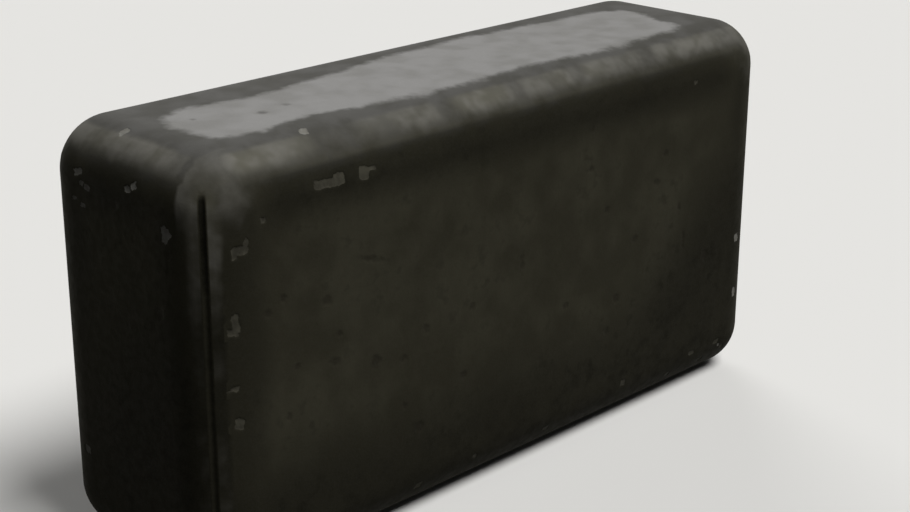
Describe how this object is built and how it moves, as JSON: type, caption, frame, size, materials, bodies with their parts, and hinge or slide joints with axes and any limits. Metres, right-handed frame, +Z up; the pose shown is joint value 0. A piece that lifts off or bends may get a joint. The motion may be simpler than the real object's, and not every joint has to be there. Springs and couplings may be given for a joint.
{
  "type": "metal roof trim",
  "caption": "Short box-shaped roof trim cap of painted sheet steel with closed ends, full-radius edges, inturned foot lips, corner seams and an open underside that fits over an upstand.",
  "frame": {"origin": "middle of the foot, on the plane that the trim stands on", "axes": "+X along the trim, +Y through it from the front face to the back, +Z up through the top face"},
  "size_m": [0.6, 0.176, 0.307],
  "materials": {
    "weathered_paint": "matte"
  },
  "bodies": {
    "root": {"trim_cap": "weathered_paint"}
  },
  "joints": []
}
